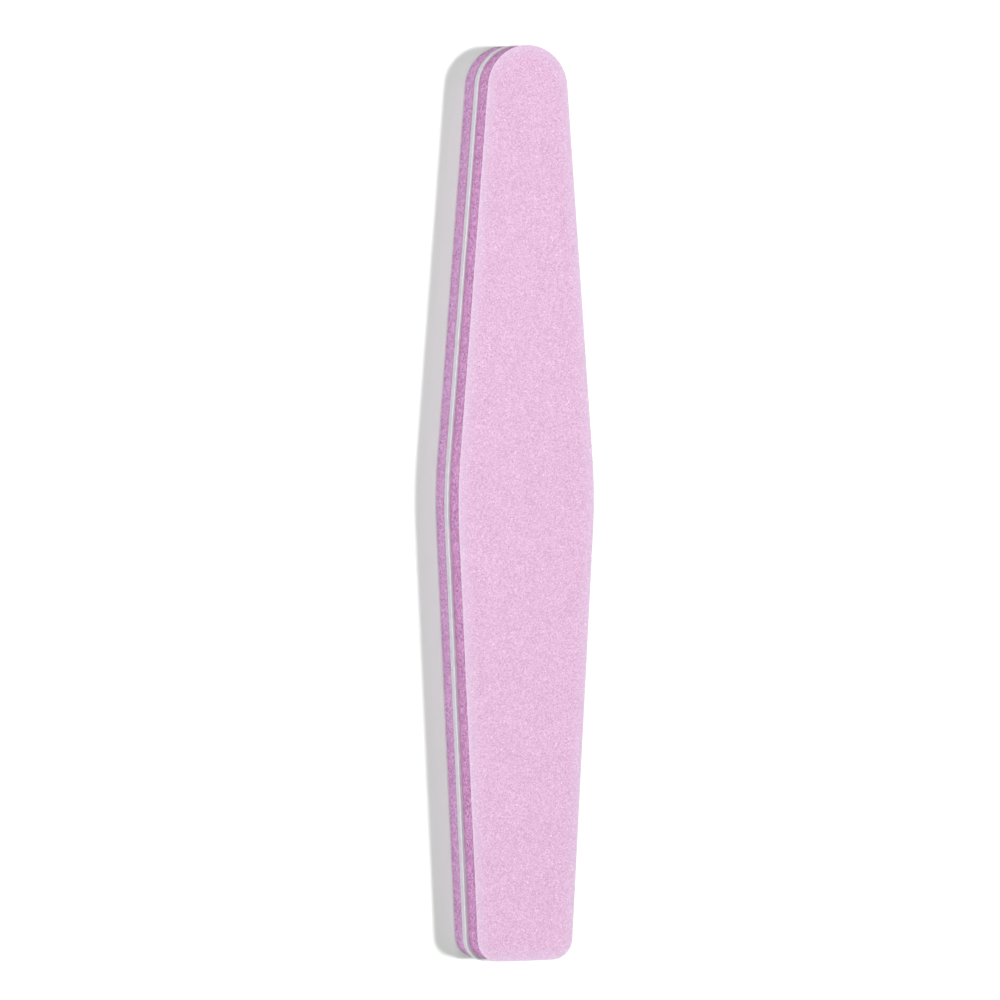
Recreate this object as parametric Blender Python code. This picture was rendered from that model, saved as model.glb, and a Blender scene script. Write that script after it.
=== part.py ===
"""A double-sided sponge nail buffer, modelled as the stack of layers that it is glued up from.

The buffer lies on its back face at z = 0, with its length along Y and its round end towards +Y.
All lengths are in metres. Each layer is one object, and every layer follows the same cut outline.
"""

import math

import bmesh
import bpy
from mathutils import Vector

# Cut outline of the pads, seen from the front
PAD_LENGTH = 0.17745
WIDEST_WIDTH = 0.0289
WIDEST_POINT_ABOVE_MIDDLE = 0.0018
WIDEST_POINT_RADIUS = 0.110
ROUND_END_RADIUS = 0.00835
SQUARE_END_WIDTH = 0.0195
SQUARE_END_CORNER_RADIUS = 0.0042
SQUARE_END_CROWN_RADIUS = 0.300

# Layers, the same on both sides of the core board
GRIT_COAT_THICKNESS = 0.00014
BACKING_PAPER_THICKNESS = 0.00016
PAPER_ADHESIVE_THICKNESS = 0.00010
FOAM_PAD_THICKNESS = 0.00448
CORE_TAPE_THICKNESS = 0.00012
CORE_BOARD_THICKNESS = 0.00180
GLUE_LINE = 0.00002

# How far each layer's edge stands back from the cut outline, or in front of it
BACKING_PAPER_INSET = 0.00004
PAPER_ADHESIVE_INSET = 0.00012
CORE_TAPE_INSET = 0.00015
CORE_OVERHANG_AT_ROUND_END = 0.00010
CORE_OVERHANG_AT_SQUARE_END = 0.00045

# Edges
GRIT_RIM_ROUNDING = 0.00010
CORE_EDGE_ROUNDING = 0.00025
FOAM_WALL_HOLLOW = 0.00012

# Counts of straight steps
ROUND_END_STEPS = 24
CORNER_STEPS = 8
SHALLOW_ARC_STEPS = 4
EDGE_STEPS = 3
FOAM_WALL_STEPS = 6

SMOOTH_BELOW = math.radians(35)

# Colours are linear red, green and blue
FINISHES = {
    "pink_grit": {"colour": (0.823, 0.533, 0.753), "roughness": 0.85},
    "coated_paper": {"colour": (0.687, 0.533, 0.638), "roughness": 0.80},
    "clear_adhesive": {"colour": (0.560, 0.430, 0.540), "roughness": 0.45},
    "mauve_foam": {"colour": (0.565, 0.296, 0.515), "roughness": 0.90},
    "grey_tape": {"colour": (0.392, 0.337, 0.423), "roughness": 0.60},
    "white_plastic": {"colour": (0.631, 0.672, 0.716), "roughness": 0.40},
}


def clear_scene():
    """Removes every object that the scene starts with."""
    for old in list(bpy.data.objects):
        bpy.data.objects.remove(old, do_unlink=True)


def make_finish(name):
    """A Principled BSDF material with the named finish's colour and roughness."""
    material = bpy.data.materials.new(name)
    material.use_nodes = True
    shader = material.node_tree.nodes["Principled BSDF"]
    shader.inputs["Base Color"].default_value = (*FINISHES[name]["colour"], 1)
    shader.inputs["Roughness"].default_value = FINISHES[name]["roughness"]
    shader.inputs["Metallic"].default_value = 0
    return material


def heading(vector):
    """The angle of a flat vector, from +X towards +Y."""
    return math.atan2(vector.y, vector.x)


def unit(angle):
    """The flat unit vector at an angle from +X."""
    return Vector((math.cos(angle), math.sin(angle)))


def right_side_arcs():
    """The arcs of the outline's right side, from the round end's tip to the square end's middle.

    Each is (centre, radius, first angle, last angle, steps). Straight lines join one arc to the next.
    """
    round_centre = Vector((0, PAD_LENGTH / 2 - ROUND_END_RADIUS))
    widest = Vector((WIDEST_WIDTH / 2, WIDEST_POINT_ABOVE_MIDDLE))
    square_corner = Vector((SQUARE_END_WIDTH / 2, -PAD_LENGTH / 2))

    # The upper side line runs from the widest point and touches the round end
    reach = widest - round_centre
    upper_normal = unit(heading(reach) + math.acos(ROUND_END_RADIUS / reach.length))
    lower_line = (square_corner - widest).normalized()
    lower_normal = Vector((-lower_line.y, lower_line.x))
    upper_angle = heading(upper_normal)
    lower_angle = heading(lower_normal)

    # The widest point is rounded by an arc that touches both side lines
    middle_normal = (upper_normal + lower_normal).normalized()
    widest_centre = widest - middle_normal * (WIDEST_POINT_RADIUS / middle_normal.dot(upper_normal))

    # The square end is a shallow crown, and its corner arc touches the crown and the lower side line
    crown_centre = Vector((0, SQUARE_END_CROWN_RADIUS - PAD_LENGTH / 2))
    along = square_corner - lower_normal * SQUARE_END_CORNER_RADIUS - crown_centre
    slope = along.dot(lower_line)
    spare = (SQUARE_END_CROWN_RADIUS - SQUARE_END_CORNER_RADIUS) ** 2 - along.length_squared
    corner_centre = crown_centre + along + lower_line * (math.sqrt(slope**2 + spare) - slope)
    crown_angle = heading(corner_centre - crown_centre)

    quarter = math.pi / 2
    return [
        (round_centre, ROUND_END_RADIUS, quarter, upper_angle, ROUND_END_STEPS // 2),
        (widest_centre, WIDEST_POINT_RADIUS, upper_angle, lower_angle, SHALLOW_ARC_STEPS),
        (corner_centre, SQUARE_END_CORNER_RADIUS, lower_angle, crown_angle, CORNER_STEPS),
        (crown_centre, SQUARE_END_CROWN_RADIUS, crown_angle, -quarter, SHALLOW_ARC_STEPS // 2),
    ]


def right_side_points():
    """Points of the right side as (place, outward direction), with no two alike."""
    points = []
    for index, (centre, radius, first, last, steps) in enumerate(right_side_arcs()):
        # The crown starts where the corner arc ends, so its first point is left out
        skipped = 1 if index == len(right_side_arcs()) - 1 else 0
        for step in range(skipped, steps + 1):
            outward = unit(first + (last - first) * step / steps)
            points.append((centre + outward * radius, outward))
    return points


def outline(inset, round_end_overhang, square_end_overhang):
    """The closed outline, moved inwards by the inset and outwards by an overhang that varies along it."""
    right = right_side_points()
    left = [(Vector((-place.x, place.y)), Vector((-out.x, out.y))) for place, out in right[-2:0:-1]]
    moved = []
    for place, outward in right + left:
        along = place.y / PAD_LENGTH + 1 / 2
        overhang = square_end_overhang + (round_end_overhang - square_end_overhang) * along
        moved.append(place + outward * (overhang - inset))
    return moved


def straight_edge(thickness, inset):
    """An edge that is cut square, as (inset, height) pairs from the bottom up."""
    return [(inset, 0), (inset, thickness)]


def rounded_edge(thickness, bottom_radius, top_radius):
    """An edge with a quarter round at its bottom and its top, as (inset, height) pairs from the bottom up."""
    turns = [math.pi / 2 * step / EDGE_STEPS for step in range(EDGE_STEPS + 1)]
    bottom = [(bottom_radius * (1 - math.sin(turn)), bottom_radius * (1 - math.cos(turn))) for turn in turns]
    top = [(top_radius * (1 - math.cos(turn)), thickness - top_radius * (1 - math.sin(turn))) for turn in turns]
    if not bottom_radius:
        bottom = bottom[:1]
    if not top_radius:
        top = top[:1]
    return bottom + top


def hollow_edge(thickness, hollow):
    """A foam wall that draws in between its two faces, as (inset, height) pairs from the bottom up."""
    heights = [step / FOAM_WALL_STEPS for step in range(FOAM_WALL_STEPS + 1)]
    return [(hollow * (1 - (2 * height - 1) ** 2), thickness * height) for height in heights]


def turned_over(edge, thickness):
    """The same edge with its top and bottom exchanged."""
    return [(inset, thickness - height) for inset, height in reversed(edge)]


def make_layer(name, edge, finish, floor, parent, overhangs=(0, 0)):
    """One layer: its edge carried round the outline and closed with a flat face above and below."""
    shape = bmesh.new()
    rings = []
    for inset, height in edge:
        corners = [shape.verts.new((*place, height)) for place in outline(inset, *overhangs)]
        rings.append([shape.edges.new(pair) for pair in zip(corners, corners[1:] + corners[:1])])
    for lower, upper in zip(rings, rings[1:]):
        bmesh.ops.bridge_loops(shape, edges=lower + upper)
    for ring in (rings[0], rings[-1]):
        bmesh.ops.contextual_create(shape, geom=ring)
    bmesh.ops.recalc_face_normals(shape, faces=shape.faces)

    mesh = bpy.data.meshes.new(name)
    shape.to_mesh(mesh)
    shape.free()
    mesh.shade_smooth()
    mesh.set_sharp_from_angle(angle=SMOOTH_BELOW)
    mesh.materials.append(finish)
    layer = bpy.data.objects.new(name, mesh)
    layer.location.z = floor
    layer.parent = parent
    bpy.context.scene.collection.objects.link(layer)
    return layer


def sheet_and_pad(finishes):
    """The layers between a working face and the core, outermost first, as (name, thickness, edge, finish)."""
    rim = min(GRIT_RIM_ROUNDING, GRIT_COAT_THICKNESS)
    grit_edge = rounded_edge(GRIT_COAT_THICKNESS, rim, 0)
    paper_edge = straight_edge(BACKING_PAPER_THICKNESS, BACKING_PAPER_INSET)
    adhesive_edge = straight_edge(PAPER_ADHESIVE_THICKNESS, PAPER_ADHESIVE_INSET)
    foam_edge = hollow_edge(FOAM_PAD_THICKNESS, FOAM_WALL_HOLLOW)
    tape_edge = straight_edge(CORE_TAPE_THICKNESS, CORE_TAPE_INSET)
    return [
        ("grit_coat", GRIT_COAT_THICKNESS, grit_edge, finishes["pink_grit"]),
        ("backing_paper", BACKING_PAPER_THICKNESS, paper_edge, finishes["coated_paper"]),
        ("paper_adhesive", PAPER_ADHESIVE_THICKNESS, adhesive_edge, finishes["clear_adhesive"]),
        ("foam_pad", FOAM_PAD_THICKNESS, foam_edge, finishes["mauve_foam"]),
        ("core_tape", CORE_TAPE_THICKNESS, tape_edge, finishes["grey_tape"]),
    ]


def make_root():
    """An empty that carries every layer and centres the whole length, overhangs and all, on the origin."""
    root = bpy.data.objects.new("buffer_root", None)
    root.location.y = (CORE_OVERHANG_AT_SQUARE_END - CORE_OVERHANG_AT_ROUND_END) / 2
    bpy.context.scene.collection.objects.link(root)
    return root


def build_buffer():
    """Stacks the back layers, the core board and the front layers, from the surface it lies on upwards."""
    clear_scene()
    finishes = {name: make_finish(name) for name in FINISHES}
    root = make_root()
    half = sheet_and_pad(finishes)
    floor = 0

    for name, thickness, edge, finish in half:
        make_layer("back_" + name, edge, finish, floor, root)
        floor += thickness + GLUE_LINE

    core_rim = min(CORE_EDGE_ROUNDING, CORE_BOARD_THICKNESS / 2)
    core_edge = rounded_edge(CORE_BOARD_THICKNESS, core_rim, core_rim)
    overhangs = (CORE_OVERHANG_AT_ROUND_END, CORE_OVERHANG_AT_SQUARE_END)
    make_layer("core_board", core_edge, finishes["white_plastic"], floor, root, overhangs)
    floor += CORE_BOARD_THICKNESS + GLUE_LINE

    for name, thickness, edge, finish in reversed(half):
        make_layer("front_" + name, turned_over(edge, thickness), finish, floor, root)
        floor += thickness + GLUE_LINE


build_buffer()
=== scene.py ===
"""Looks of a double-sided sponge nail buffer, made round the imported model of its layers.

Lengths are in metres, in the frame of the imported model: the buffer lies on its back face at z = 0, with its
length along Y and its round end towards +Y. The layers are bonded into one block and cut out with one die,
so each layer is its own edge section carried round the die's outline.
"""

import logging
import math
from collections.abc import Callable
from dataclasses import dataclass, field, replace
from enum import Enum

import bmesh
import bpy
from bpy.types import Material, Node, NodeInputs, NodeSocket, NodeTree, Object, Texture
from mathutils import Matrix, Vector
from mathutils.kdtree import KDTree


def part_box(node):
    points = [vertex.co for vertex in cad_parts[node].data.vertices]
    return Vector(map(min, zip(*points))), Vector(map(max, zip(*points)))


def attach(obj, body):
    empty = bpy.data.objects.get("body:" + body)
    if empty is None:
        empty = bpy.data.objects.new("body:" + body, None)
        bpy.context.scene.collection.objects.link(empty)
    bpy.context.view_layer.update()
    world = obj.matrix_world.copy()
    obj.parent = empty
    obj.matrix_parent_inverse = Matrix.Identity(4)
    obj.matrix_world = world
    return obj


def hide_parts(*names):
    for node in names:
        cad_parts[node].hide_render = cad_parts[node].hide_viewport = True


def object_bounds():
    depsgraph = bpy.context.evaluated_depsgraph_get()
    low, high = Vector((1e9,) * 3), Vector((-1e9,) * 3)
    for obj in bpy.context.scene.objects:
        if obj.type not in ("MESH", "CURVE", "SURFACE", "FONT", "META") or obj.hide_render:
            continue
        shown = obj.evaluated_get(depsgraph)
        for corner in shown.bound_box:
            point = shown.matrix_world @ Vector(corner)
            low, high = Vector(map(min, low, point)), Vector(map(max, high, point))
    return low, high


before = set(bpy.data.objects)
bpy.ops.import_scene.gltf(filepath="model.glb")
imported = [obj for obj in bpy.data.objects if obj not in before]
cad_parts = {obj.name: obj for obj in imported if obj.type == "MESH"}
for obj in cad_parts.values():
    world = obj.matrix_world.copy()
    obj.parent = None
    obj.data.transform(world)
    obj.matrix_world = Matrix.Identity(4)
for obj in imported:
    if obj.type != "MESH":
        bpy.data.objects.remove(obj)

LOG = logging.getLogger("nail_buffer")

SOLID_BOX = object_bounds()
BODY = "root"

MM = 0.001
QUARTER_TURN = math.pi / 2
# Points closer than this are one point
TOUCHING = 0.001 * MM
# The flat faces keep their edges and the round ones are shaded smooth
SMOOTH_BELOW = math.radians(40)

# The screen's colour curve: a straight toe, then a power of the raised value
SCREEN_LEVELS = 255
TOE_END = 0.04045
TOE_SLOPE = 12.92
RAISED_BY = 0.055
POWER = 2.4

Section = list[tuple[float, float]]
Colour = tuple[float, float, float]
Span = tuple[float, float]

# Where nearly all values of a noise lie
NOISE_SPAN: Span = (0.3, 0.7)


class Element(Enum):
    """What an edit-mode selection is made of, with the name of the mesh's own list of them."""

    VERT = "verts"
    EDGE = "edges"


class Pattern(Enum):
    """What a displacement follows: soft lumps, or round cells that are deepest at their middles."""

    LUMPS = "CLOUDS"
    CELLS = "VORONOI"


class Slot(Enum):
    """The material slots, which name the materials."""

    GRIT = "pink_grit"
    PAPER = "coated_paper"
    ADHESIVE = "clear_adhesive"
    FOAM = "mauve_foam"
    TAPE = "grey_tape"
    PLASTIC = "white_plastic"


class Trace(Enum):
    """The number fields that are painted on the meshes for the finishes to read."""

    RIM = "rim"
    SEAM = "seam"


def linear(*levels: int) -> Colour:
    """Turns a colour as a screen shows it into the shader's own.

    Args:
        *levels: Red, green and blue, from 0 to 255.

    Returns:
        Linear red, green and blue, from 0 to 1.
    """
    shown = [value / SCREEN_LEVELS for value in levels]
    return tuple(
        value / TOE_SLOPE if value < TOE_END else ((value + RAISED_BY) / (1 + RAISED_BY)) ** POWER
        for value in shown
    )


def unit(angle: float) -> Vector:
    """The flat unit vector at an angle from +X."""
    return Vector((math.cos(angle), math.sin(angle), 0))


def heading(vector: Vector) -> float:
    """The angle of a flat vector, from +X towards +Y."""
    return math.atan2(vector.y, vector.x)


def make_active(piece: Object) -> None:
    """Makes one object the only selected and active one.

    Args:
        piece: The object.
    """
    bpy.ops.object.select_all(action="DESELECT")
    piece.select_set(True)
    bpy.context.view_layer.objects.active = piece


def edit(piece: Object) -> None:
    """Enters edit mode on one object alone."""
    make_active(piece)
    bpy.ops.object.mode_set(mode="EDIT")


def leave_edit() -> None:
    """Goes back to object mode."""
    bpy.ops.object.mode_set(mode="OBJECT")


def pick(piece: Object, kind: Element, wanted: Callable) -> None:
    """Selects, in edit mode, just the elements that pass a test.

    Args:
        piece: The object in edit mode.
        kind: Which elements are tested.
        wanted: Takes a vertex or edge and says whether it is selected.
    """
    bpy.ops.mesh.select_mode(type=kind.name)
    bpy.ops.mesh.select_all(action="DESELECT")
    shape = bmesh.from_edit_mesh(piece.data)
    for element in getattr(shape, kind.value):
        if wanted(element):
            element.select_set(True)
    shape.select_flush_mode()
    bmesh.update_edit_mesh(piece.data)


def middle_height(edge: bmesh.types.BMEdge) -> float:
    """How high an edge's middle lies."""
    return (edge.verts[0].co.z + edge.verts[1].co.z) / 2


def apply_modifier(piece: Object, kind: str, **settings: object) -> None:
    """Adds a modifier, sets it and applies it at once.

    Args:
        piece: The object that gets it.
        kind: The modifier's type.
        **settings: Values for the modifier's own properties.
    """
    make_active(piece)
    modifier = piece.modifiers.new(kind.lower(), kind)
    for key, value in settings.items():
        setattr(modifier, key, value)
    bpy.ops.object.modifier_apply(modifier=modifier.name)


def pattern(name: str, kind: Pattern, size: float, **settings: object) -> Texture:
    """A texture for a displacement.

    Args:
        name: The texture's name.
        kind: What it looks like.
        size: Width of a lump or cell.
        **settings: Values for the texture's own properties.

    Returns:
        The texture.
    """
    texture = bpy.data.textures.new(name, type=kind.value)
    texture.noise_scale = size
    for key, value in settings.items():
        setattr(texture, key, value)
    return texture


def displace_wall(piece: Object, texture: Texture, depth: float) -> None:
    """Moves a wall in and out along its normals, as a texture says.

    Args:
        piece: The open wall, in object mode.
        texture: The texture.
        depth: How far the innermost places lie below the outermost.
    """
    wall = {"direction": "NORMAL", "texture_coords": "LOCAL"}
    apply_modifier(piece, "DISPLACE", texture=texture, strength=depth, **wall)


def group_by(piece: Object, name: str, weight: Callable[[Vector], float]) -> str:
    """Makes a vertex group whose weights follow each vertex's place.

    Args:
        piece: The object that gets it.
        name: The group's name.
        weight: Takes a vertex's place and gives its weight, from 0 to 1.

    Returns:
        The group's name, for a modifier.
    """
    group = piece.vertex_groups.new(name=name)
    for vertex in piece.data.vertices:
        group.add([vertex.index], weight(vertex.co), "REPLACE")
    return name


def paint(piece: Object, trace: Trace, value: Callable[[Vector], float]) -> None:
    """Paints a number on each vertex, for a finish to read.

    Args:
        piece: The object that gets it.
        trace: Which field is painted.
        value: Takes a vertex's place and gives the number.
    """
    attribute = piece.data.attributes.new(trace.value, "FLOAT", "POINT")
    attribute.data.foreach_set("value", [value(vertex.co) for vertex in piece.data.vertices])


def close_ends(piece: Object) -> None:
    """Closes each open end of a layer's wall with one flat face.

    Args:
        piece: The object in edit mode.
    """
    heights = [vertex.co.z for vertex in bmesh.from_edit_mesh(piece.data).verts]
    halfway = (min(heights) + max(heights)) / 2
    for at_top in (False, True):
        pick(
            piece,
            Element.EDGE,
            lambda edge, at_top=at_top: edge.is_boundary and (middle_height(edge) > halfway) == at_top,
        )
        if piece.data.total_edge_sel:
            bpy.ops.mesh.edge_face_add()


def turned_over(piece: Object, name: str) -> Object:
    """Copies a front layer and turns it over onto the back, as the stack's other half is.

    Args:
        piece: The front layer.
        name: The copy's name.

    Returns:
        The back layer, with its own mesh, in place.
    """
    make_active(piece)
    bpy.ops.object.duplicate(linked=False)
    copy = bpy.context.object
    copy.name = name
    copy.data.name = name
    lowest, highest = SOLID_BOX
    centre = (0, 0, (lowest.z + highest.z) / 2)
    bpy.ops.transform.rotate(value=math.pi, orient_axis="Y", center_override=centre)
    bpy.ops.object.transform_apply(location=True, rotation=True, scale=True)
    return copy


@dataclass(frozen=True)
class Arc:
    """One round stretch of the die's outline.

    Attributes:
        centre: Its centre.
        radius: Its radius.
        first: Heading of its first point from the centre.
        last: Heading of its last point.
    """

    centre: Vector
    radius: float
    first: float
    last: float

    def at(self, angle: float, inset: float = 0) -> Vector:
        """The point at a heading, moved in towards the centre by an inset."""
        return self.centre + unit(angle) * (self.radius - inset)

    def steps(self, spacing: float) -> int:
        """How many straight steps of about the given length follow the arc."""
        return max(1, round(self.radius * abs(self.last - self.first) / spacing))


@dataclass(frozen=True)
class CutOutline:
    """The outline that the die cuts, seen from the front. Its length and middle come from the frame.

    Attributes:
        widest_width: Width between the side lines where they would meet.
        widest_above_middle: How far that is from the middle of the length, towards the round end.
        widest_radius: Radius that rounds the widest point.
        round_end_radius: Radius of the round end.
        square_end_width: Width of the square end before its corners are rounded.
        square_corner_radius: Radius of its corners.
        square_crown_radius: Radius of its slightly bulging end.
    """

    widest_width: float = 28.9 * MM
    widest_above_middle: float = 1.8 * MM
    widest_radius: float = 110.0 * MM
    round_end_radius: float = 8.35 * MM
    square_end_width: float = 19.5 * MM
    square_corner_radius: float = 4.2 * MM
    square_crown_radius: float = 300.0 * MM

    @property
    def ends(self) -> tuple[float, float]:
        """Where the square end and the round end lie along Y."""
        lowest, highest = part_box("front_grit_coat")
        return lowest.y, highest.y

    def arcs(self) -> list[Arc]:
        """Works out the right side, from the round end's tip to the square end's middle.

        Returns:
            The arcs in order. A straight line that touches both joins each one to the next.
        """
        square_end, round_end = self.ends
        round_centre = Vector((0, round_end - self.round_end_radius, 0))
        middle = (square_end + round_end) / 2
        widest = Vector((self.widest_width / 2, middle + self.widest_above_middle, 0))
        square_corner = Vector((self.square_end_width / 2, square_end, 0))

        reach = widest - round_centre
        upper_normal = unit(heading(reach) + math.acos(self.round_end_radius / reach.length))
        lower_line = (square_corner - widest).normalized()
        lower_normal = Vector((-lower_line.y, lower_line.x, 0))
        upper_angle = heading(upper_normal)
        lower_angle = heading(lower_normal)

        middle_normal = (upper_normal + lower_normal).normalized()
        widest_centre = widest - middle_normal * (self.widest_radius / middle_normal.dot(upper_normal))

        crown_centre = Vector((0, square_end + self.square_crown_radius, 0))
        along = square_corner - lower_normal * self.square_corner_radius - crown_centre
        slope = along.dot(lower_line)
        spare = (self.square_crown_radius - self.square_corner_radius) ** 2 - along.length_squared
        corner_centre = crown_centre + along + lower_line * (math.sqrt(slope**2 + spare) - slope)
        crown_angle = heading(corner_centre - crown_centre)
        return [
            Arc(round_centre, self.round_end_radius, QUARTER_TURN, upper_angle),
            Arc(widest_centre, self.widest_radius, upper_angle, lower_angle),
            Arc(corner_centre, self.square_corner_radius, lower_angle, crown_angle),
            Arc(crown_centre, self.square_crown_radius, crown_angle, -QUARTER_TURN),
        ]

    def sweep(self, name: str, section: Section, spacing: float) -> Object:
        """Carries an edge section round the outline: half of it by spins and extrusions, and half mirrored.

        Args:
            name: The new object's name.
            section: The section's points as (inset, height) pairs, from the lowest up.
            spacing: About how far apart the points along the outline are.

        Returns:
            The open wall, in object mode.
        """
        arcs = self.arcs()
        inset, height = section[0]
        start = arcs[0].at(QUARTER_TURN, inset) + Vector((0, 0, height))
        bpy.ops.object.select_all(action="DESELECT")
        bpy.ops.mesh.primitive_plane_add(size=spacing, location=start)
        piece = bpy.context.object
        piece.name = name
        piece.data.name = name
        bpy.ops.object.transform_apply(location=True, rotation=True, scale=True)

        edit(piece)
        bpy.ops.mesh.select_mode(type="VERT")
        bpy.ops.mesh.select_all(action="SELECT")
        bpy.ops.mesh.merge(type="CENTER")
        for (inset, height), (next_inset, next_height) in zip(section, section[1:]):
            move = (0, inset - next_inset, next_height - height)
            bpy.ops.mesh.extrude_vertices_move(TRANSFORM_OT_translate={"value": move})
        bpy.ops.mesh.select_all(action="SELECT")

        lines = []
        for arc, previous in zip(arcs, [None, *arcs]):
            line = arc.at(arc.first) - previous.at(previous.last) if previous else Vector()
            if line.length > TOUCHING:
                bpy.ops.mesh.extrude_edges_move(TRANSFORM_OT_translate={"value": line})
                lines.append(line.length)
            turn = arc.first - arc.last
            bpy.ops.mesh.spin(steps=arc.steps(spacing), angle=turn, center=arc.centre, axis=(0, 0, 1))
        for length in lines:
            self.divide(piece, length, spacing)
        leave_edit()

        apply_modifier(piece, "MIRROR", use_axis=(True, False, False), merge_threshold=10 * TOUCHING)
        edit(piece)
        bpy.ops.mesh.select_all(action="SELECT")
        bpy.ops.mesh.remove_doubles(threshold=TOUCHING)
        bpy.ops.mesh.normals_make_consistent(inside=False)
        leave_edit()
        return piece

    @staticmethod
    def divide(piece: Object, length: float, spacing: float) -> None:
        """Cuts the straight edges of one length into short ones, in two rounds.

        Args:
            piece: The object in edit mode.
            length: Length of the edges that are cut.
            spacing: About how long the short ones are.
        """
        parts = round(math.sqrt(length / spacing))
        for part in (length, length / parts):
            pick(piece, Element.EDGE, lambda edge, part=part: abs(edge.calc_length() - part) < spacing / 2)
            bpy.ops.mesh.subdivide(number_cuts=parts - 1)


@dataclass(frozen=True)
class Tint:
    """A colour that is laid over others where some number says so.

    Attributes:
        colour: The colour.
        span: The number at which it starts, and the one at which it is full.
        strength: How much of it shows there.
    """

    colour: Colour
    span: Span = (0, 1)
    strength: float = 1


def feed(inputs: NodeInputs, feeds: dict[str | int, object]) -> None:
    """Links sockets into a node's inputs, or writes plain values there.

    Args:
        inputs: The node's inputs.
        feeds: An output socket, a number or a colour for each input, by the input's name or number.
    """
    for name, value in feeds.items():
        socket = inputs[name]
        if isinstance(value, NodeSocket):
            socket.id_data.links.new(value, socket)
        elif socket.type == "RGBA":
            socket.default_value = (*value, 1)
        else:
            socket.default_value = value


def add_node(tree: NodeTree, kind: str, feeds: dict, **settings: object) -> Node:
    """Adds a node, sets it and feeds its inputs.

    Args:
        tree: The nodes that it joins.
        kind: Its type.
        feeds: What goes into its inputs.
        **settings: Values for its own properties.

    Returns:
        The node.
    """
    node = tree.nodes.new(kind)
    for name, value in settings.items():
        setattr(node, name, value)
    feed(node.inputs, feeds)
    return node


def reckon(tree: NodeTree, operation: str, first: object, second: object) -> NodeSocket:
    """A sum on two numbers.

    Args:
        tree: The nodes that it joins.
        operation: The Math node's operation.
        first: The first number.
        second: The second number.

    Returns:
        The result.
    """
    return add_node(tree, "ShaderNodeMath", {0: first, 1: second}, operation=operation).outputs["Value"]


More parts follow.
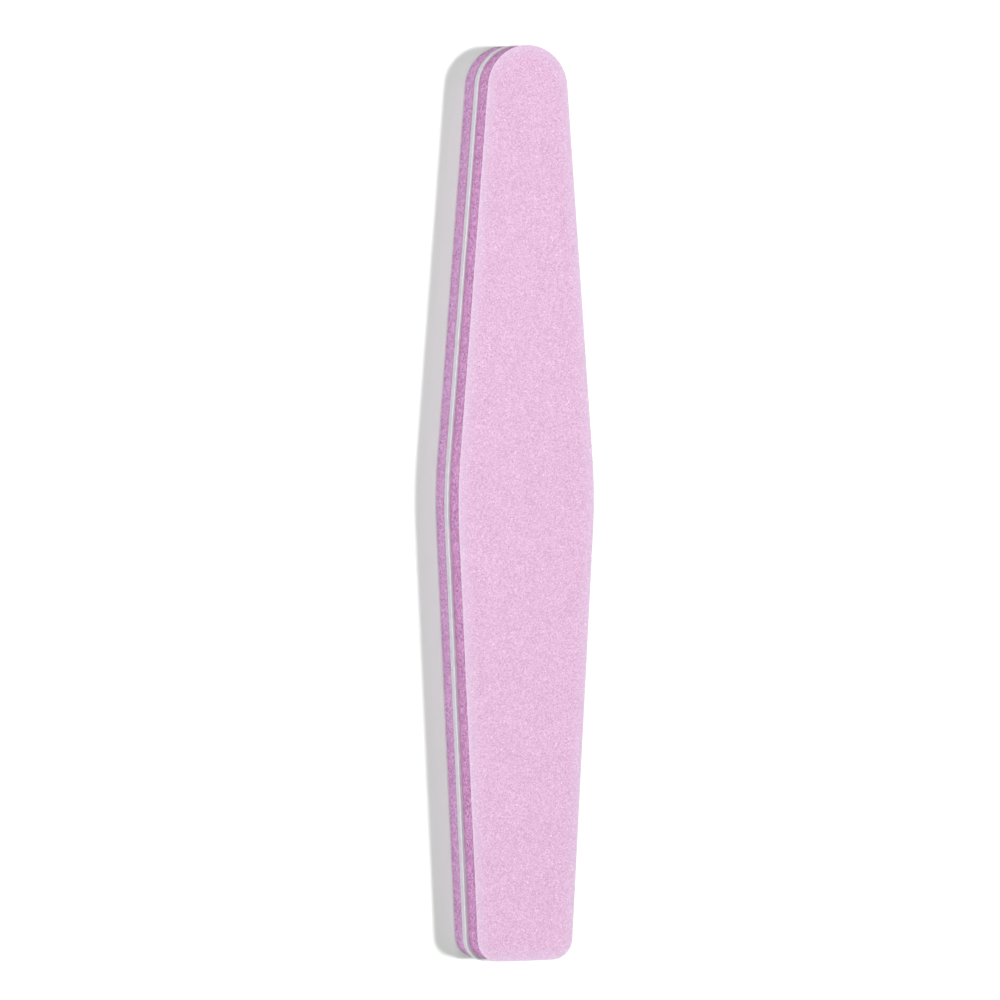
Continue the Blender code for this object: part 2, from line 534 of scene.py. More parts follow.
class Recipe:
    """One material under construction: its nodes, fed by the piece's own coordinates and painted fields."""

    def __init__(self, name: str) -> None:
        """Starts a material with a Principled BSDF.

        Args:
            name: The material's name.
        """
        self.material = bpy.data.materials.new(name)
        self.material.use_nodes = True
        self.tree = self.material.node_tree
        self.shader = self.tree.nodes["Principled BSDF"].inputs
        self.place = add_node(self.tree, "ShaderNodeTexCoord", {}).outputs["Object"]

    def stretched(self, across: float, up: float) -> NodeSocket:
        """The piece's coordinates, for a pattern that is drawn out.

        Args:
            across: How many times it is drawn out along X and Y.
            up: The same along Z.

        Returns:
            The coordinates.
        """
        feeds = {"Vector": self.place, "Scale": (1 / across, 1 / across, 1 / up)}
        return add_node(self.tree, "ShaderNodeMapping", feeds).outputs["Vector"]

    def noise(self, size: float, detail: float = 2, place: object = None) -> NodeSocket:
        """A soft random pattern.

        Args:
            size: Width of its lumps.
            detail: How many finer layers are added.
            place: Coordinates, if not the piece's own.

        Returns:
            Its value, from 0 to 1.
        """
        feeds = {"Vector": place or self.place, "Scale": 1 / size, "Detail": detail}
        return add_node(self.tree, "ShaderNodeTexNoise", feeds).outputs["Fac"]

    def grains(self, size: float, place: object = None) -> tuple[NodeSocket, ...]:
        """A pattern of packed grains.

        Args:
            size: Width of a grain.
            place: Coordinates, if not the piece's own.

        Returns:
            Two numbers that differ from grain to grain, and the distance from a grain's middle in grains.
        """
        feeds = {"Vector": place or self.place, "Scale": 1 / size}
        grain = add_node(self.tree, "ShaderNodeTexVoronoi", feeds).outputs
        numbers = add_node(self.tree, "ShaderNodeSeparateColor", {"Color": grain["Color"]}).outputs
        return numbers["Red"], numbers["Green"], grain["Distance"]

    def field(self, trace: Trace) -> NodeSocket:
        """A painted number."""
        return add_node(self.tree, "ShaderNodeAttribute", {}, attribute_name=trace.value).outputs["Fac"]

    def spread(self, value: object, read: Span, given: Span) -> NodeSocket:
        """Moves a value from one span to another, and keeps it there.

        Args:
            value: The number.
            read: The span that is read.
            given: What its start and its end become.

        Returns:
            The new value.
        """
        spans = {"From Min": read[0], "From Max": read[1], "To Min": given[0], "To Max": given[1]}
        return add_node(self.tree, "ShaderNodeMapRange", {"Value": value, **spans}).outputs["Result"]

    def mix(self, amount: object, first: object, second: object) -> NodeSocket:
        """Mixes two colours.

        Args:
            amount: How much of the second, from 0 to 1.
            first: The first colour.
            second: The second colour.

        Returns:
            The mixed colour.
        """
        feeds = {"Factor": amount, "A": first, "B": second}
        return add_node(self.tree, "ShaderNodeMix", feeds, data_type="RGBA").outputs["Result"]

    def amount(self, tint: Tint, number: object) -> NodeSocket:
        """How much of a tint shows at each place, by a number."""
        return self.spread(number, tint.span, (0, tint.strength))

    def lay(self, colour: object, tint: Tint, number: object) -> NodeSocket:
        """Lays a tint over a colour.

        Args:
            colour: The colour below.
            tint: The tint.
            number: What says where it shows.

        Returns:
            The tinted colour.
        """
        return self.mix(self.amount(tint, number), colour, tint.colour)

    def shade(self, colour: object, noise: object, shades: Span) -> NodeSocket:
        """Makes a colour darker and brighter, as a noise says.

        Args:
            colour: The colour.
            noise: The noise.
            shades: What the colour is multiplied by at the noise's lowest and at its highest.

        Returns:
            The shaded colour.
        """
        feeds = {"Vector": colour, "Scale": self.spread(noise, NOISE_SPAN, shades)}
        return add_node(self.tree, "ShaderNodeVectorMath", feeds, operation="SCALE").outputs["Vector"]

    def finish(self, colour: object, roughness: object, height: object, depth: float) -> Material:
        """Feeds the shader with a colour, a roughness and a fine relief.

        Args:
            colour: The base colour.
            roughness: The roughness.
            height: The relief, from 0 to 1.
            depth: How deep it is.

        Returns:
            The material.
        """
        bump = add_node(self.tree, "ShaderNodeBump", {"Distance": depth, "Height": height})
        feed(self.shader, {"Base Color": colour, "Roughness": roughness, "Normal": bump.outputs["Normal"]})
        return self.material


@dataclass(frozen=True)
class GritFinish:
    """Pale pink abrasive grain in resin, with painted glints, some darker grains and a painted rim highlight.

    Attributes:
        light: Colour of the palest grains.
        deep: Colour of the deepest ones.
        dark: Tint of the few dark grains, by a grain's own number.
        glint: Painted highlight: a near-white tint on the few grains that glint, by the same number.
        edge_band: Tint of a paler, bluer band inside the rim, from 0 at its inner side to 1 at the rim.
        rim_highlight: Painted highlight on the rim itself, where the rolled edge would catch the light.
        rim_highlight_ragged: How far a fine noise moves the inner side of the painted rim highlight, so that
            it is ragged.
        grain: Width of a grain.
        mottle: Width of the faint patches that the coating leaves.
        mottle_shades: The darkest and the brightest patch.
        rim_width: How far the paler band reaches in.
        roughness: Roughness of a plain grain and of a full glint.
        slope: Where a grain's slope starts and ends, in grains from its middle.
        heights: The lowest and the highest grain, as shares of the relief.
        specular: Strength of the highlights.
        relief: Height of the fine relief.
    """

    light: Colour = linear(240, 203, 232)
    deep: Colour = linear(213, 167, 202)
    dark: Tint = Tint(linear(196, 152, 188), span=(0.05, 0.025), strength=0.6)
    glint: Tint = Tint(linear(255, 238, 252), span=(0.97, 0.985), strength=0.6)
    edge_band: Tint = Tint(linear(226, 208, 231), span=(0.2, 1), strength=0.5)
    rim_highlight: Tint = Tint(linear(238, 210, 232), span=(0.85, 1), strength=0.85)
    rim_highlight_ragged: Span = (-0.15, 0.05)
    grain: float = 0.20 * MM
    mottle: float = 6.0 * MM
    mottle_shades: Span = (0.985, 1.015)
    rim_width: float = 3.2 * MM
    roughness: Span = (0.88, 0.35)
    slope: Span = (0, 0.8)
    heights: Span = (0.5, 1)
    specular: float = 0.3
    relief: float = 0.03 * MM

    def material(self) -> Material:
        """Makes the material.

        Returns:
            The material.
        """
        recipe = Recipe(Slot.GRIT.value)
        tone, number, away = recipe.grains(self.grain)
        colour = recipe.mix(tone, self.deep, self.light)
        patches = recipe.noise(self.mottle)
        colour = recipe.shade(colour, patches, self.mottle_shades)
        colour = recipe.lay(colour, self.dark, number)

        rim = recipe.field(Trace.RIM)
        # A paler, bluer band that fades in towards the rim
        colour = recipe.lay(colour, self.edge_band, rim)
        # Painted highlight: the rim is painted pale where the rolled edge would catch the light, with a
        # ragged inner side
        rim_highlight_raggedness = recipe.spread(recipe.noise(2 * self.grain, detail=3), NOISE_SPAN, self.rim_highlight_ragged)
        colour = recipe.lay(colour, self.rim_highlight, reckon(recipe.tree, "ADD", rim, rim_highlight_raggedness))

        # Painted highlight: the glinting grains are painted near white, and they are also made smoother
        glints = recipe.amount(self.glint, number)
        colour = recipe.mix(glints, colour, self.glint.colour)
        roughness = recipe.spread(glints, (0, 1), self.roughness)
        dome = recipe.spread(away, self.slope, (1, 0))
        height = reckon(recipe.tree, "MULTIPLY", dome, recipe.spread(tone, (0, 1), self.heights))
        feed(recipe.shader, {"Specular IOR Level": self.specular})
        return recipe.finish(colour, roughness, height, self.relief)


@dataclass(frozen=True)
class FoamFinish:
    """Mauve closed-cell foam with a cut wall, on which the opened cells show as fine pits with painted shade
    inside.

    Attributes:
        light: Colour of the palest cells.
        deep: Colour of the deepest ones.
        redder: Tint of the warmer patches, by the patches' noise.
        bluer: Tint of the cooler patches, by the same noise.
        pit: Painted shade inside the cells that the die has opened, by a cell's own number.
        pit_span: Where a pit starts and ends to fade, in cells from its middle.
        seam_shade: Painted shade on the wall beside the core, darkest at the core and fading up the wall.
        cell: Width of a cell.
        upright: How many times taller than wide a cell is.
        cell_shades: The darkest and the brightest speck on the cells.
        patch: Width of the patches.
        skin_span: Where a cell starts and ends to rise to its skin, in cells from its middle.
        roughness: Its roughness.
        specular: Strength of the highlights.
        relief: Depth of the fine relief.
    """

    light: Colour = linear(223, 170, 216)
    deep: Colour = linear(170, 112, 158)
    redder: Tint = Tint(linear(212, 146, 192), span=(0.5, 0.67), strength=0.45)
    bluer: Tint = Tint(linear(188, 150, 202), span=(0.5, 0.33), strength=0.35)
    pit: Tint = Tint(linear(118, 70, 114), span=(0.45, 0.85), strength=0.85)
    pit_span: Span = (0.15, 0.5)
    seam_shade: Tint = Tint(linear(170, 120, 158), strength=0.75)
    cell: float = 0.36 * MM
    upright: float = 1.6
    cell_shades: Span = (0.84, 1.16)
    patch: float = 1.1 * MM
    skin_span: Span = (0, 0.6)
    roughness: float = 0.92
    specular: float = 0.2
    relief: float = 0.08 * MM

    def material(self) -> Material:
        """Makes the material.

        Returns:
            The material.
        """
        recipe = Recipe(Slot.FOAM.value)
        drawn_up = recipe.stretched(1, self.upright)
        tone, number, away = recipe.grains(self.cell, drawn_up)
        colour = recipe.mix(tone, self.deep, self.light)
        patches = recipe.noise(self.patch, detail=3)
        colour = recipe.lay(colour, self.bluer, patches)
        colour = recipe.lay(colour, self.redder, patches)
        specks = recipe.noise(self.cell / 2, 1, drawn_up)
        colour = recipe.shade(colour, specks, self.cell_shades)
        # Painted shade: the opened cells are painted dark towards their middles
        bowl = recipe.spread(away, self.pit_span, (1, 0))
        opened = reckon(recipe.tree, "MULTIPLY", bowl, recipe.amount(self.pit, number))
        colour = recipe.mix(opened, colour, self.pit.colour)
        # Painted shade: the wall is painted darker beside the core, fading up the wall
        colour = recipe.lay(colour, self.seam_shade, recipe.field(Trace.SEAM))
        feed(recipe.shader, {"Specular IOR Level": self.specular})
        height = recipe.spread(away, self.skin_span, (0, 1))
        return recipe.finish(colour, self.roughness, height, self.relief)


@dataclass(frozen=True)
class PlasticFinish:
    """Satin white plastic sheet, a cool pale grey at its cut edge, with the die's fine scratches across it
    and painted light on its rims.

    Attributes:
        colour: Colour of the sheet.
        rim_painted_light: Painted light on the rims and ledges, which the key lamp leaves in shade, from 0 at
            mid-height to 1 at the faces.
        scuffed: Tint of the scratches, by their noise.
        scratch: Width of a scratch.
        drawn_out: How many times longer than wide a scratch is.
        patch_shades: The darkest and the brightest patch.
        rough_span: Between which values of the scratches' noise the roughness rises.
        roughness: Roughness of the sheet and of a scratch.
        relief: Depth of a scratch.
    """

    colour: Colour = linear(201, 200, 207)
    rim_painted_light: Tint = Tint(linear(238, 236, 241), span=(0.6, 0.9))
    scuffed: Tint = Tint(linear(190, 190, 199), span=(0.45, 0.7), strength=0.9)
    scratch: float = 0.12 * MM
    drawn_out: float = 12.0
    patch_shades: Span = (0.95, 1.05)
    rough_span: Span = (0.4, 0.7)
    roughness: Span = (0.38, 0.6)
    relief: float = 0.01 * MM

    def material(self) -> Material:
        """Makes the material.

        Returns:
            The material.
        """
        recipe = Recipe(Slot.PLASTIC.value)
        across = recipe.noise(self.scratch, place=recipe.stretched(1, self.drawn_out))
        colour = recipe.lay(self.colour, self.scuffed, across)
        # Painted light: the rims and ledges are painted near white towards the faces
        colour = recipe.lay(colour, self.rim_painted_light, recipe.field(Trace.RIM))
        patches = recipe.noise(self.drawn_out * self.scratch)
        colour = recipe.shade(colour, patches, self.patch_shades)
        roughness = recipe.spread(across, self.rough_span, self.roughness)
        return recipe.finish(colour, roughness, across, self.relief)


@dataclass(frozen=True)
class FilmFinish:
    """A thin layer that shows only at its cut edge: paper, adhesive or tape.

    Attributes:
        slot: Its material slot, which names the material.
        colour: Its colour.
        soiled: Colour of its darker flecks.
        fleck: Width of a fleck.
        drawn_out: How many times longer than tall a fleck is.
        roughness: Its roughness.
        soiled_span: Between which values of the flecks' noise they come out.
        uneven: How far the roughness goes up and down.
        flatness: How many times wider than high a fleck is.
    """

    slot: Slot
    colour: Colour
    soiled: Colour
    fleck: float
    drawn_out: float
    roughness: float
    soiled_span: Span = (0.4, 0.65)
    uneven: float = 0.08
    flatness: float = 10

    def material(self) -> Material:
        """Makes the material.

        Returns:
            The material.
        """
        recipe = Recipe(self.slot.value)
        flecks = recipe.noise(self.fleck, 3, recipe.stretched(self.drawn_out, 1))
        colour = recipe.lay(self.colour, Tint(self.soiled, self.soiled_span), flecks)
        span = (self.roughness - self.uneven, self.roughness + self.uneven)
        roughness = recipe.spread(flecks, NOISE_SPAN, span)
        return recipe.finish(colour, roughness, flecks, self.fleck / self.flatness)


Finish = GritFinish | FoamFinish | PlasticFinish | FilmFinish

PAPER_FINISH = FilmFinish(
    Slot.PAPER,
    linear(250, 236, 248),
    soiled=linear(232, 210, 228),
    fleck=0.10 * MM,
    drawn_out=3.0,
    roughness=0.85,
)
ADHESIVE_FINISH = FilmFinish(
    Slot.ADHESIVE,
    linear(228, 202, 224),
    soiled=linear(204, 178, 200),
    fleck=0.20 * MM,
    drawn_out=4.0,
    roughness=0.45,
)
TAPE_FINISH = FilmFinish(
    Slot.TAPE,
    linear(206, 174, 200),
    soiled=linear(180, 148, 174),
    fleck=0.25 * MM,
    drawn_out=5.0,
    roughness=0.6,
)
# Painted light: the back pad is the same foam painted a shade paler, with paler pits, so that it looks as
# bright as the front pad while it stands beside the shadowed floor
BACK_FOAM_PAINTED_LIGHT_FINISH = FoamFinish(
    light=linear(224, 181, 221),
    deep=linear(187, 137, 182),
    pit=replace(FoamFinish.pit, colour=linear(152, 102, 148)),
)


@dataclass
class Layer:
    """One layer of the stack, modelled on the front side.

    Attributes:
        outline: The die's outline.
        node: The layer's CAD node on the front side.
        name: What the layer's own piece is called, without its side.
        slot: Its material slot. It is not used.
        finish: What it is dressed in.
        back_finish: What the back's layer is dressed in, if that differs.
        spacing: About how far apart its points along the outline are.
    """

    outline: CutOutline
    node: str
    name: str
    slot: Slot
    finish: Finish
    back_finish: Finish | None = None
    spacing: float = 0.22 * MM

    @property
    def heights(self) -> tuple[float, float]:
        """The layer's lowest and highest z, from its CAD node."""
        lowest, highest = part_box("front_" + self.node)
        return lowest.z, highest.z

    def build(self) -> Object:
        """Models the front layer. Each kind of layer has its own way."""
        raise NotImplementedError

    def complete(self, piece: Object) -> Object:
        """Turns the faces outward, smooths the shading and gives the piece its finish.

        Args:
            piece: The modelled layer, in object mode.

        Returns:
            The same piece.
        """
        edit(piece)
        bpy.ops.mesh.select_all(action="SELECT")
        bpy.ops.mesh.normals_make_consistent(inside=False)
        leave_edit()
        bpy.ops.object.shade_smooth_by_angle(angle=SMOOTH_BELOW)
        piece.data.materials.clear()
        piece.data.materials.append(self.finish.material())
        return piece

    def declare(self, piece: Object, node: str) -> None:
        """Says what the piece rides on and what it replaces.

        Args:
            piece: The finished piece.
            node: The CAD node that it stands for.
        """
        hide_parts(node)
        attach(piece, BODY)
        LOG.info("%s: %d faces", piece.name, len(piece.data.polygons))

    def dress(self) -> None:
        """Builds the front layer, turns a copy over for the back, and declares both."""
        front = self.build()
        front.name = "front_" + self.name
        back = turned_over(front, "back_" + self.name)
        if self.back_finish:
            back.data.materials[0] = self.back_finish.material()
        self.declare(front, "front_" + self.node)
        self.declare(back, "back_" + self.node)


@dataclass
class GritCoat(Layer):
    """The abrasive face: a fine grid of uneven grain inside a rim that the die has rolled down.

    Attributes:
        grain_height: How far grains stand above or below the middle of the surface.
        grain_shift: How far they stand off the grid.
        clump: Width of a clump of grains.
        clump_height: How high a clump is.
        roll_width: How far in the rolled rim starts.
        roll_drop: How far the rim rolls down.
        roll_steps: How many rows of faces the roll has.
        columns: How many grid columns run from end to end.
        seed: Start of the random draws.
    """

    grain_height: float = 0.022 * MM
    grain_shift: float = 0.05 * MM
    clump: float = 0.7 * MM
    clump_height: float = 0.02 * MM
    roll_width: float = 0.5 * MM
    roll_drop: float = 0.08 * MM
    roll_steps: int = 6
    columns: int = 100
    seed: int = 11

    def section(self) -> Section:
        """The rim's section, from the paper up to where the grid starts.

        Returns:
            (inset, height) pairs.
        """
        bottom, top = self.heights
        face = top - self.grain_height - self.clump_height / 2
        turns = [QUARTER_TURN * step / self.roll_steps for step in range(self.roll_steps + 1)]
        roll = [
            (self.roll_width * (1 - math.cos(turn)), face - self.roll_drop * (1 - math.sin(turn)))
            for turn in turns
        ]
        return [(0, bottom), *roll]

    def fill_face(self, piece: Object) -> None:
        """Fills the top with a grid whose corners lie on the round end and at the square end's corners.

        Args:
            piece: The rim, in edit mode.
        """
        bottom, top = self.heights
        arc = self.outline.arcs()[0]
        turn = (arc.first - arc.last) * (self.columns / 2) / arc.steps(self.spacing)
        corner = arc.at(QUARTER_TURN - turn, self.roll_width)
        halfway = (bottom + top) / 2
        pick(piece, Element.EDGE, lambda edge: edge.is_boundary and middle_height(edge) > halfway)
        shape = bmesh.from_edit_mesh(piece.data)
        ring = [vertex for vertex in shape.verts if vertex.select]
        shape.select_history.clear()
        shape.select_history.add(min(ring, key=lambda vertex: (vertex.co.xy - corner.xy).length))
        bpy.ops.mesh.fill_grid(span=self.columns, offset=0)

    def build(self) -> Object:
        """Models the coat.

        Returns:
            The finished front coat.
        """
        section = self.section()
        piece = self.outline.sweep(self.name, section, self.spacing)
        face = section[-1][1]
        edge = KDTree(len(piece.data.vertices))
        for vertex in piece.data.vertices:
            if vertex.co.z < section[1][1] + TOUCHING:
                edge.insert((vertex.co.x, vertex.co.y, 0), vertex.index)
        edge.balance()

        edit(piece)
        self.fill_face(piece)
        close_ends(piece)
        pick(piece, Element.VERT, lambda vertex: vertex.co.z > face - TOUCHING)
        bpy.ops.transform.vertex_random(offset=self.grain_shift, normal=0, seed=self.seed)
        leave_edit()
        for vertex in piece.data.vertices:
            if vertex.select:
                vertex.co.z = face
        edit(piece)
        bpy.ops.transform.vertex_random(offset=self.grain_height, normal=1, seed=self.seed + 1)
        leave_edit()

        top = group_by(piece, "top", lambda place: float(place.z > face - self.grain_height - TOUCHING))
        texture = pattern("grit_clumps", Pattern.LUMPS, self.clump, noise_depth=2)
        lift = {"strength": self.clump_height, "direction": "Z", "texture_coords": "LOCAL"}
        apply_modifier(piece, "DISPLACE", texture=texture, vertex_group=top, **lift)
        piece.vertex_groups.clear()

        reach = self.finish.rim_width
        # For the grit's paler band and painted rim highlight: 1 at the edge, 0 from the band's width in
        paint(piece, Trace.RIM, lambda place: max(0, 1 - edge.find((place.x, place.y, 0))[2] / reach))
        return self.complete(piece)


@dataclass
class FoamPad(Layer):
    """A foam pad, whose cut wall draws in half way up, tucks in at the core and is pitted by opened cells.

    Attributes:
        spacing: About how far apart the wall's points are, along and up.
        hollow: How far the wall draws in half way up.
        tuck: How far it tucks in beside the core.
        tuck_height: How high the tuck reaches.
        pit: Width of a pit.
        pit_depth: Depth of a pit.
        wave: Width of the wall's slow waves.
        wave_depth: Depth of the waves.
        roughness_depth: How far single points stand off.
        seam_shade_height: How far up the wall the painted shade beside the core reaches.
        fill: How tight the pad is. It is not used.
        seed: Start of the random draws.
    """

    spacing: float = 0.16 * MM
    hollow: float = 0.10 * MM
    tuck: float = 0.10 * MM
    tuck_height: float = 0.25 * MM
    pit: float = 0.42 * MM
    pit_depth: float = 0.07 * MM
    wave: float = 5.0 * MM
    wave_depth: float = 0.06 * MM
    roughness_depth: float = 0.012 * MM
    seam_shade_height: float = 1.6 * MM
    fill: float = 1.0
    seed: int = 23

    def section(self) -> Section:
        """The wall's section, from the core up.

        Returns:
            (inset, height) pairs.
        """
        bottom, top = self.heights
        steps = round((top - bottom) / self.spacing)
        proud = (self.pit_depth + self.wave_depth) / 2 + self.roughness_depth
        section = []
        for step in range(steps + 1):
            share = step / steps
            drawn_in = self.hollow * (1 - (2 * share - 1) ** 2)
            tucked = self.tuck * math.exp(-share * (top - bottom) / self.tuck_height)
            section.append((proud + drawn_in + tucked, bottom + share * (top - bottom)))
        return section

    def build(self) -> Object:
        """Models the pad.

        Returns:
            The finished front pad.
        """
        piece = self.outline.sweep(self.name, self.section(), self.spacing)
        displace_wall(piece, pattern("foam_waves", Pattern.LUMPS, self.wave, noise_depth=1), self.wave_depth)
        displace_wall(piece, pattern("foam_cells", Pattern.CELLS, self.pit), self.pit_depth)
        bottom, _ = self.heights
        edit(piece)
        bpy.ops.mesh.select_all(action="SELECT")
        bpy.ops.transform.vertex_random(offset=self.roughness_depth, normal=1, seed=self.seed)
        close_ends(piece)
        leave_edit()
        # For the painted shade beside the core: 1 at the core, fading to 0 up the wall
        paint(piece, Trace.SEAM, lambda place: max(0, 1 - (place.z - bottom) / self.seam_shade_height))
        return self.complete(piece)

    def declare(self, piece: Object, node: str) -> None:
        super().declare(piece, node)


@dataclass
class Film(Layer):
    """A thin sheet of paper, adhesive or tape, with a slightly ragged cut edge.

    Attributes:
        inset: How far its edge stands back from the die's outline.
        tear: Width of the edge's nicks.
        tear_depth: Depth of the nicks.
        rows: How many rows of faces the edge has.
    """

    inset: float = 0.04 * MM
    tear: float = 0.5 * MM
    tear_depth: float = 0.05 * MM
    rows: int = 2

    def build(self) -> Object:
        """Models the sheet.

        Returns:
            The finished front sheet.
        """
        bottom, top = self.heights
        inset = self.inset + self.tear_depth / 2
        section = [(inset, bottom + (top - bottom) * row / self.rows) for row in range(self.rows + 1)]
        piece = self.outline.sweep(self.name, section, self.spacing)
        nicks = pattern(self.name + "_nicks", Pattern.LUMPS, self.tear, noise_depth=2)
        displace_wall(piece, nicks, self.tear_depth)
        edit(piece)
        close_ends(piece)
        leave_edit()
        return self.complete(piece)


@dataclass
class CoreBoard(Layer):
    """The stiff board in the middle, whose edge stands proud of the foam, most of all at the square end.

    Attributes:
        round_end_overhang: How far it stands proud at the round end.
        square_end_overhang: The same at the square end.
        edge_radius: Radius of its rounded edges.
        edge_steps: How many rows of faces the rounding has.
        rows: How many rows of faces its wall has.
        ripple: Width of the die's ripples on the wall.
        ripple_depth: Depth of the ripples.
    """

    round_end_overhang: float = 0.10 * MM
    square_end_overhang: float = 0.45 * MM
    edge_radius: float = 0.25 * MM
    edge_steps: int = 4
    rows: int = 6
    ripple: float = 0.9 * MM
    ripple_depth: float = 0.03 * MM

    @property
    def heights(self) -> tuple[float, float]:
        """The board's lowest and highest z, from its CAD node."""
        lowest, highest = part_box(self.node)
        return lowest.z, highest.z

    def build(self) -> Object:
        """Models the board.

        Returns:
            The finished board.
        """
        bottom, top = self.heights
        inset = self.ripple_depth - self.round_end_overhang
        section = [(inset, bottom + (top - bottom) * row / self.rows) for row in range(self.rows + 1)]
        piece = self.outline.sweep(self.name, section, self.spacing)
        square_end, round_end = self.outline.ends
        length = round_end - square_end
        share = group_by(piece, "overhang", lambda place: min(1, max(0, (round_end - place.y) / length)))
        spread = self.square_end_overhang - self.round_end_overhang
        overhang = {"strength": spread, "mid_level": 0, "vertex_group": share}
        apply_modifier(piece, "DISPLACE", direction="NORMAL", **overhang)
        piece.vertex_groups.clear()
        ripples = pattern("core_ripples", Pattern.LUMPS, self.ripple, noise_depth=1)
        displace_wall(piece, ripples, self.ripple_depth)

        edit(piece)
        close_ends(piece)
        ends = (bottom, top)
        pick(
            piece,
            Element.EDGE,
            lambda edge: any(all(abs(v.co.z - end) < TOUCHING for v in edge.verts) for end in ends),
        )
        bpy.ops.mesh.bevel(offset=self.edge_radius, segments=self.edge_steps, affect="EDGES")
        leave_edit()
        middle = (bottom + top) / 2
        # For the plastic's painted light: 0 at mid-height, 1 at the faces
        paint(piece, Trace.RIM, lambda place: abs(place.z - middle) / (top - middle))
        return self.complete(piece)

    def dress(self) -> None:
        """There is only one, in the middle."""
        self.declare(self.build(), self.node)


@dataclass
class Buffer:
    """The whole buffer: the core board and, on each side of it, tape, foam, adhesive, paper and grit."""

    outline: CutOutline = field(default_factory=CutOutline)

    def layers(self) -> list[Layer]:
        """The layers from the core outwards.

        Returns:
            The core board, and the layers that both sides have.
        """
        die = self.outline
        tape = {"inset": 0.15 * MM, "tear": 0.8 * MM, "tear_depth": 0.06 * MM}
        adhesive = {"inset": 0.12 * MM, "tear": 1.2 * MM, "tear_depth": 0.05 * MM}
        return [
            CoreBoard(die, "core_board", "core_board_edge", Slot.PLASTIC, PlasticFinish()),
            Film(die, "core_tape", "tape_strip", Slot.TAPE, TAPE_FINISH, **tape),
            FoamPad(die, "foam_pad", "sponge_pad", Slot.FOAM, FoamFinish(), BACK_FOAM_PAINTED_LIGHT_FINISH),
            Film(die, "paper_adhesive", "adhesive_film", Slot.ADHESIVE, ADHESIVE_FINISH, **adhesive),
            Film(die, "backing_paper", "paper_sheet", Slot.PAPER, PAPER_FINISH),
            GritCoat(die, "grit_coat", "abrasive_face", Slot.GRIT, GritFinish()),
        ]

    def dress(self) -> None:
        """Builds and declares every layer."""
        for layer in self.layers():
            layer.dress()


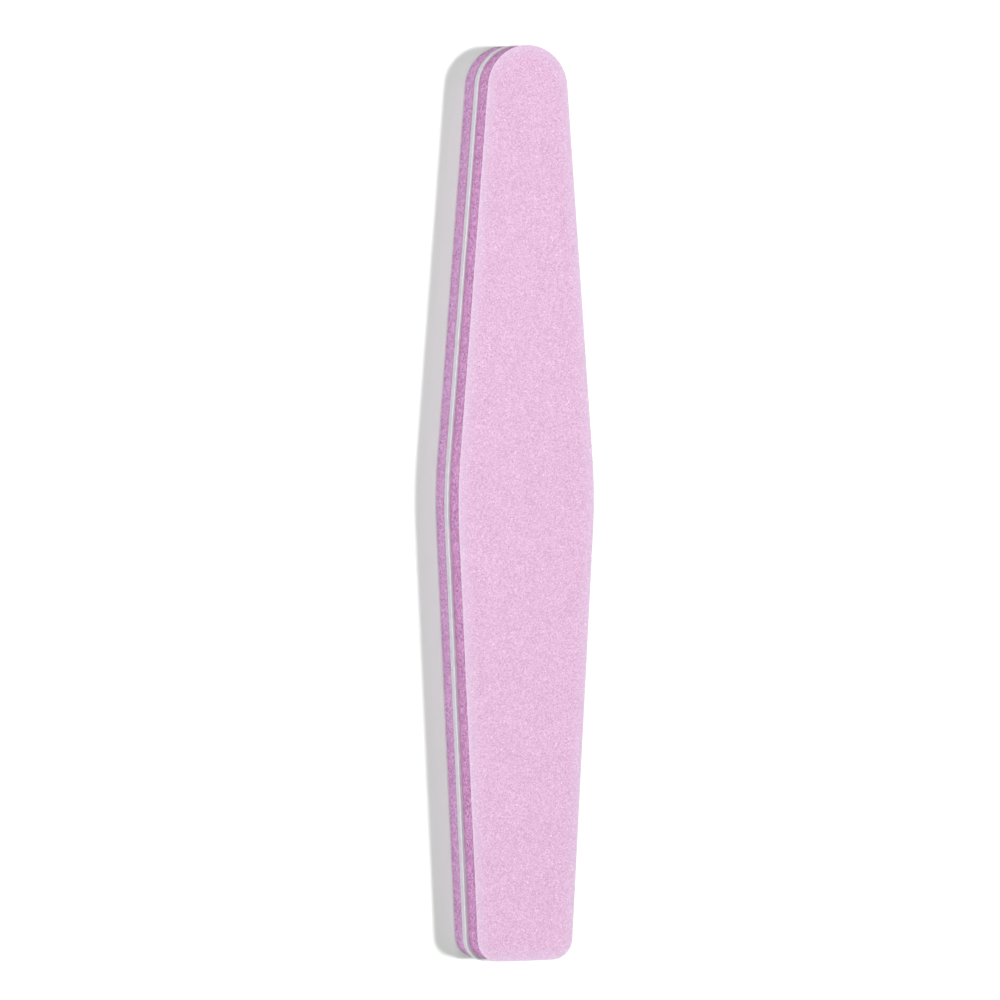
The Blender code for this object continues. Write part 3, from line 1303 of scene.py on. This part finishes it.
@dataclass(frozen=True)
class Studio:
    """The floor, the lamps and the camera.

    Attributes:
        floor_size: Width of the floor.
        floor_tone: Colour of the floor.
        floor_lift: What is added where the camera sees the floor, so that it shows white. It is greener
            than the floor, which keeps the shadow grey beside the foam.
        sky: Brightness of the light from all round.
        key_level: How bright the key lamp makes a white floor.
        key_elevation: How high it stands.
        key_angle: How wide it looks, which softens the shadow.
        fill_level: How bright the fill lamp makes a white floor.
        fill_elevation: How high it stands, on the left.
        fill_angle: How wide it looks.
        soft_level: How bright the soft lamp makes a white floor right below it.
        soft_place: Where it hangs, close over the upper half, so that the square end gets less.
        soft_size: Its width.
        distance: How far the camera is from the middle of the buffer.
        tilt: How far the view leans to the left of straight down.
        lean: How far it leans towards the round end.
        roll: How far the picture is turned clockwise.
        lens: Focal length on the sensor below.
        sensor: Width of the sensor.
        middle_across: Where the middle of the buffer shows, from the left of the picture, in picture widths.
        middle_down: The same from the top.
    """

    floor_size: float = 6.0
    floor_tone: Colour = (0.932, 0.938, 0.932)
    floor_lift: Colour = (0.13, 0.182, 0.134)
    sky: float = 0.17
    key_level: float = 0.68
    key_elevation: float = math.radians(69.5)
    key_angle: float = math.radians(6)
    fill_level: float = 0.088
    fill_elevation: float = math.radians(11)
    fill_angle: float = math.radians(20)
    soft_level: float = 0.15
    soft_place: tuple[float, float, float] = (-0.08, 0.07, 0.33)
    soft_size: float = 0.15
    distance: float = 1.532
    tilt: float = math.radians(22.906)
    lean: float = math.radians(2.013)
    roll: float = math.radians(0.169)
    lens: float = 283.8
    sensor: float = 36.0
    middle_across: float = 0.51471
    middle_down: float = 0.50373

    def lay_floor(self) -> None:
        """Lays the floor under the buffer."""
        lowest, _ = SOLID_BOX
        bpy.ops.object.select_all(action="DESELECT")
        bpy.ops.mesh.primitive_plane_add(size=self.floor_size, location=(0, 0, lowest.z))
        floor = bpy.context.object
        floor.name = "studio_floor"
        recipe = Recipe("studio_floor")
        looks = {
            "Base Color": self.floor_tone,
            "Roughness": 1,
            "Specular IOR Level": 0,
            "Emission Color": self.floor_lift,
            "Emission Strength": self.seen(recipe.tree, 1),
        }
        feed(recipe.shader, looks)
        floor.data.materials.append(recipe.material)

    @staticmethod
    def seen(tree: NodeTree, strength: float) -> NodeSocket:
        """A strength that only rays from the camera, mirrors and glass see.

        Args:
            tree: The nodes that it is added to.
            strength: The strength for those rays.

        Returns:
            The strength, or zero for every other ray.
        """
        rays = add_node(tree, "ShaderNodeLightPath", {}).outputs
        total = rays["Is Camera Ray"]
        for name in ("Is Glossy Ray", "Is Transmission Ray"):
            total = reckon(tree, "MAXIMUM", total, rays[name])
        return reckon(tree, "MULTIPLY", total, strength)

    def light_sky(self) -> None:
        """Lights the scene from all round, and shows white behind it."""
        world = bpy.data.worlds.new("studio_sky")
        world.use_nodes = True
        tree = world.node_tree
        strength = reckon(tree, "ADD", self.seen(tree, 1 - self.sky), self.sky)
        feed(tree.nodes["Background"].inputs, {"Color": (1, 1, 1), "Strength": strength})
        bpy.context.scene.world = world

    @staticmethod
    def hang_lamp(name: str, kind: str, energy: float, **settings: object) -> Object:
        """Hangs a lamp.

        Args:
            name: The lamp's name.
            kind: Its type.
            energy: Its energy.
            **settings: Values for its own properties.

        Returns:
            Its stand, not placed yet.
        """
        lamp = bpy.data.lights.new(name, kind)
        lamp.energy = energy
        for key, value in settings.items():
            setattr(lamp, key, value)
        stand = bpy.data.objects.new(name, lamp)
        bpy.context.scene.collection.objects.link(stand)
        return stand

    def hang_lamps(self) -> None:
        """Hangs a far key lamp on the right, a far fill lamp low on the left and a near soft lamp above."""
        key = Vector((math.cos(self.key_elevation), 0, math.sin(self.key_elevation)))
        fill = Vector((-math.cos(self.fill_elevation), 0, math.sin(self.fill_elevation)))
        far_lamps = (
            ("key_lamp", self.key_level, key, self.key_angle),
            ("fill_lamp", self.fill_level, fill, self.fill_angle),
        )
        for name, level, towards, angle in far_lamps:
            far = self.hang_lamp(name, "SUN", math.pi * level / towards.z, angle=angle)
            far.rotation_euler = towards.to_track_quat("Z", "Y").to_euler()
        energy = self.soft_level * (math.pi * self.soft_place[2]) ** 2
        soft = self.hang_lamp("soft_lamp", "AREA", energy, shape="DISK", size=self.soft_size)
        soft.location = self.soft_place
        soft.visible_camera = False

    def place_camera(self) -> None:
        """Places the camera over the buffer, as the photograph was taken."""
        lowest, highest = SOLID_BOX
        centre = (lowest + highest) / 2
        flat = math.cos(self.lean)
        back = Vector((-math.sin(self.tilt) * flat, math.sin(self.lean), math.cos(self.tilt) * flat))
        right = Vector((0, 1, 0)).cross(back).normalized()
        up = back.cross(right)
        turn = Matrix((right, up, back)).transposed() @ Matrix.Rotation(self.roll, 3, "Z")
        camera = bpy.data.cameras.new("camera")
        camera.sensor_width = self.sensor
        camera.lens = self.lens
        camera.shift_x = 1 / 2 - self.middle_across
        camera.shift_y = self.middle_down - 1 / 2
        stand = bpy.data.objects.new("camera", camera)
        stand.matrix_world = Matrix.Translation(centre + back * self.distance) @ turn.to_4x4()
        bpy.context.scene.collection.objects.link(stand)
        bpy.context.scene.camera = stand

    def set_up(self) -> None:
        """Sets up the whole studio."""
        bpy.context.scene.view_settings.view_transform = "Standard"
        self.lay_floor()
        self.light_sky()
        self.hang_lamps()
        self.place_camera()
        LOG.info("studio set up")


def main() -> None:
    """Dresses the buffer and sets up the studio."""
    logging.basicConfig(level=logging.INFO, format="%(name)s: %(message)s")
    Studio().set_up()
    Buffer().dress()


if __name__ == "__main__":
    main()
